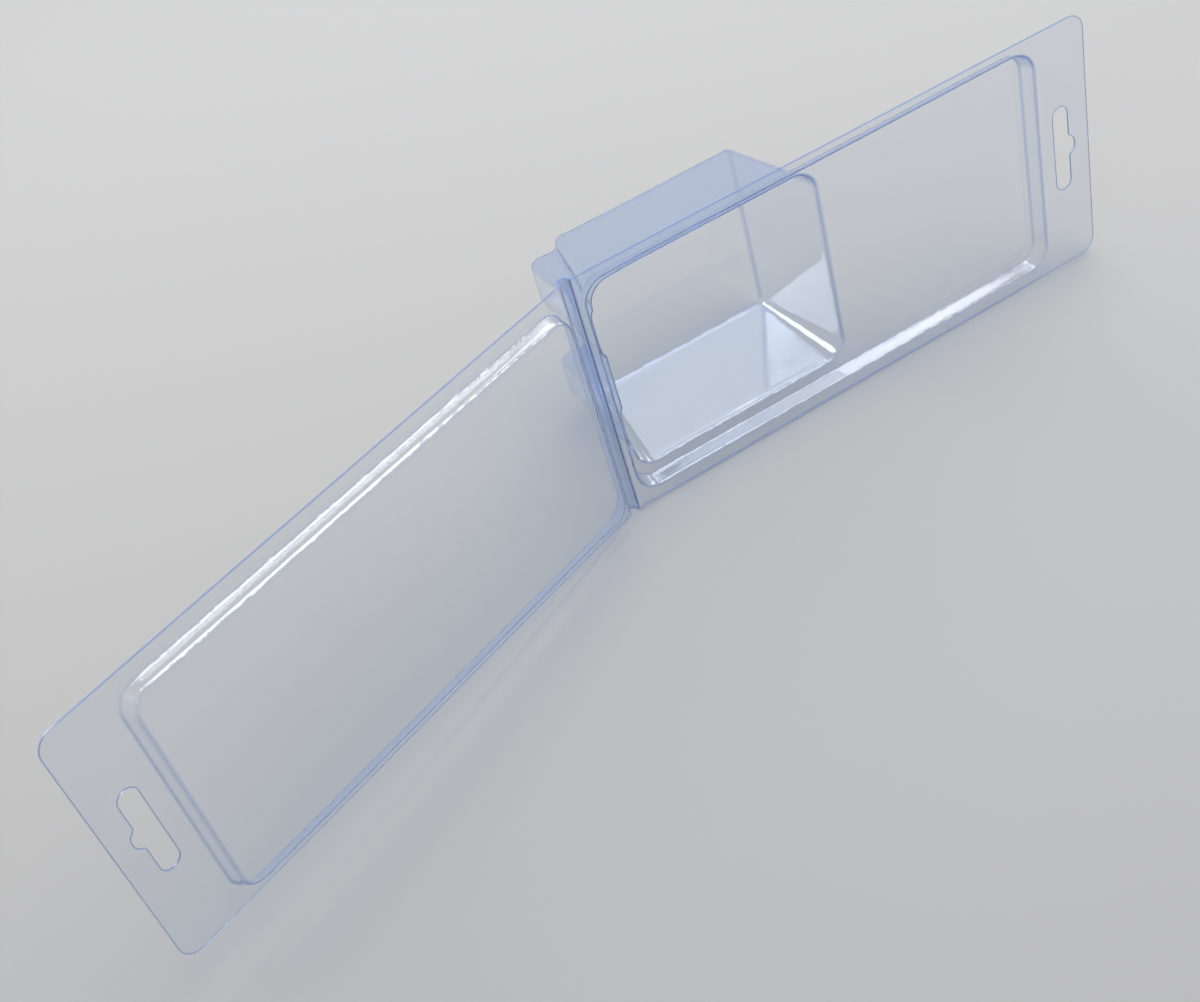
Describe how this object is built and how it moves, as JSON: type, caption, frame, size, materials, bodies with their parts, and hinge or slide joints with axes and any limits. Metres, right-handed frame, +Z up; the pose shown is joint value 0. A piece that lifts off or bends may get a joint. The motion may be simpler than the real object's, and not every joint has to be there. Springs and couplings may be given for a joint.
{
  "type": "plastic clamshell pack",
  "caption": "Clear thermoformed clamshell pack, open: a tray with a drawn product box, feet and hang tab, joined by a living hinge to a lid with a shallow raised plug.",
  "frame": {"origin": "on the table, under the middle of the open pack's bounding box", "axes": "+X along the tray's lower rim, from the lid towards the tray's hang tab; +Y towards the back of the product box; +Z up"},
  "size_m": [0.386, 0.135, 0.1086],
  "materials": {
    "clear_sheet": "clear glossy sheet with a slight blue tint"
  },
  "bodies": {
    "tray body": {"tray": "clear_sheet", "living_hinge": "clear_sheet"},
    "lid body": {"lid": "clear_sheet"}
  },
  "joints": [
    {"name": "lid_hinge", "type": "hinge", "parent": "tray body", "child": "lid body", "pos_m": [-0.0062, 0.01117, 0.04533], "axis": [0, 0.2795, 0.9602], "range_deg": [-20.5, 159.5], "deforming": ["living_hinge"]}
  ]
}
